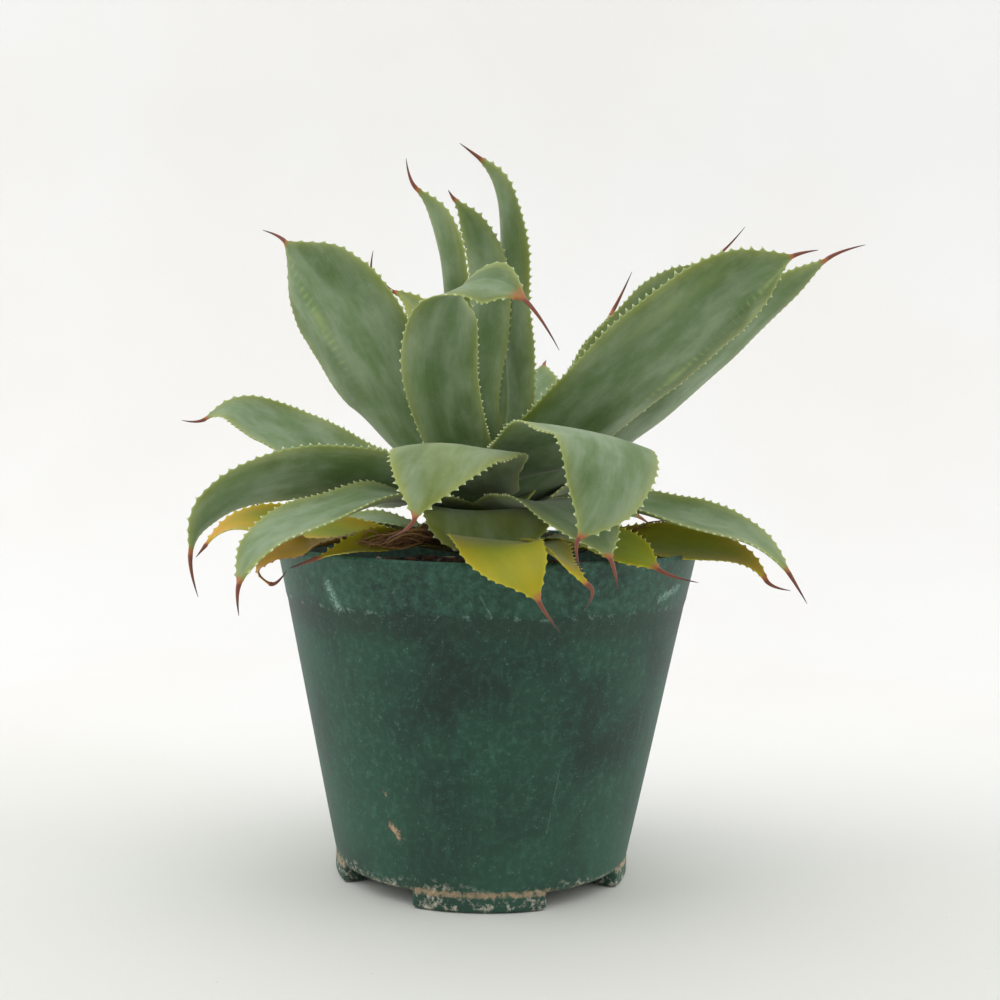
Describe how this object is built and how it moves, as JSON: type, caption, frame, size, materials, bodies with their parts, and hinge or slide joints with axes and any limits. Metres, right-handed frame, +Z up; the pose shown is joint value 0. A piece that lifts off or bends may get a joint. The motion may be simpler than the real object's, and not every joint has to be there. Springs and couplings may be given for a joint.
{
  "type": "potted agave",
  "caption": "Rosette of toothed, spine-tipped agave leaves on a short stem, planted in a tapered plastic nursery pot that stands on feet.",
  "frame": {"origin": "on the standing plane, under the centre of the whole object's box; the pot's axis is vertical and a few millimetres to the left of it and in front of it", "axes": "+Z up, -Y is the side that faces the viewer, +X to the viewer's right"},
  "size_m": [0.249, 0.188, 0.257],
  "materials": {
    "pot_plastic": "old matte dark green, scuffed, with lime crust along the foot",
    "potting_mix": "dark crumbly mix of bark, pumice and grit",
    "stem_bark": "short fibrous stem",
    "leaf_green": "grey-green with a waxy bloom, pale toothed margins and red-brown spines",
    "leaf_yellow": "yellowing old leaf, orange at its edges",
    "leaf_dry": "dried, brown and papery"
  },
  "bodies": {
    "root": {"husk_front": "leaf_dry", "husk_right": "leaf_dry", "leaf_arched_left": "leaf_green", "leaf_back_1": "leaf_green", "leaf_back_2": "leaf_green", "leaf_back_3": "leaf_green", "leaf_back_4": "leaf_green", "leaf_back_5": "leaf_green", "leaf_bent_front": "leaf_green", "leaf_bent_right": "leaf_green", "leaf_broad_right": "leaf_green", "leaf_heart_left": "leaf_green", "leaf_heart_middle": "leaf_green", "leaf_heart_tall": "leaf_green", "leaf_hidden_left": "leaf_green", "leaf_hooked_front": "leaf_green", "leaf_long_right": "leaf_green", "leaf_low_left": "leaf_green", "leaf_low_right": "leaf_green", "leaf_narrow_left": "leaf_green", "leaf_reaching_left": "leaf_green", "leaf_short_back": "leaf_green", "leaf_spear": "leaf_green", "leaf_tall_left": "leaf_green", "leaf_under_front": "leaf_green", "leaf_under_right": "leaf_green", "leaf_upright_back": "leaf_green", "leaf_upright_left": "leaf_green", "leaf_upright_right": "leaf_green", "leaf_withered_curl": "leaf_dry", "leaf_withered_rim": "leaf_yellow", "leaf_yellow_front": "leaf_yellow", "leaf_yellow_hook": "leaf_yellow", "leaf_yellow_left": "leaf_yellow", "leaf_yellow_low_right": "leaf_yellow", "leaf_yellow_right": "leaf_yellow", "pot": "pot_plastic", "soil": "potting_mix", "stem": "stem_bark"}
  },
  "joints": []
}
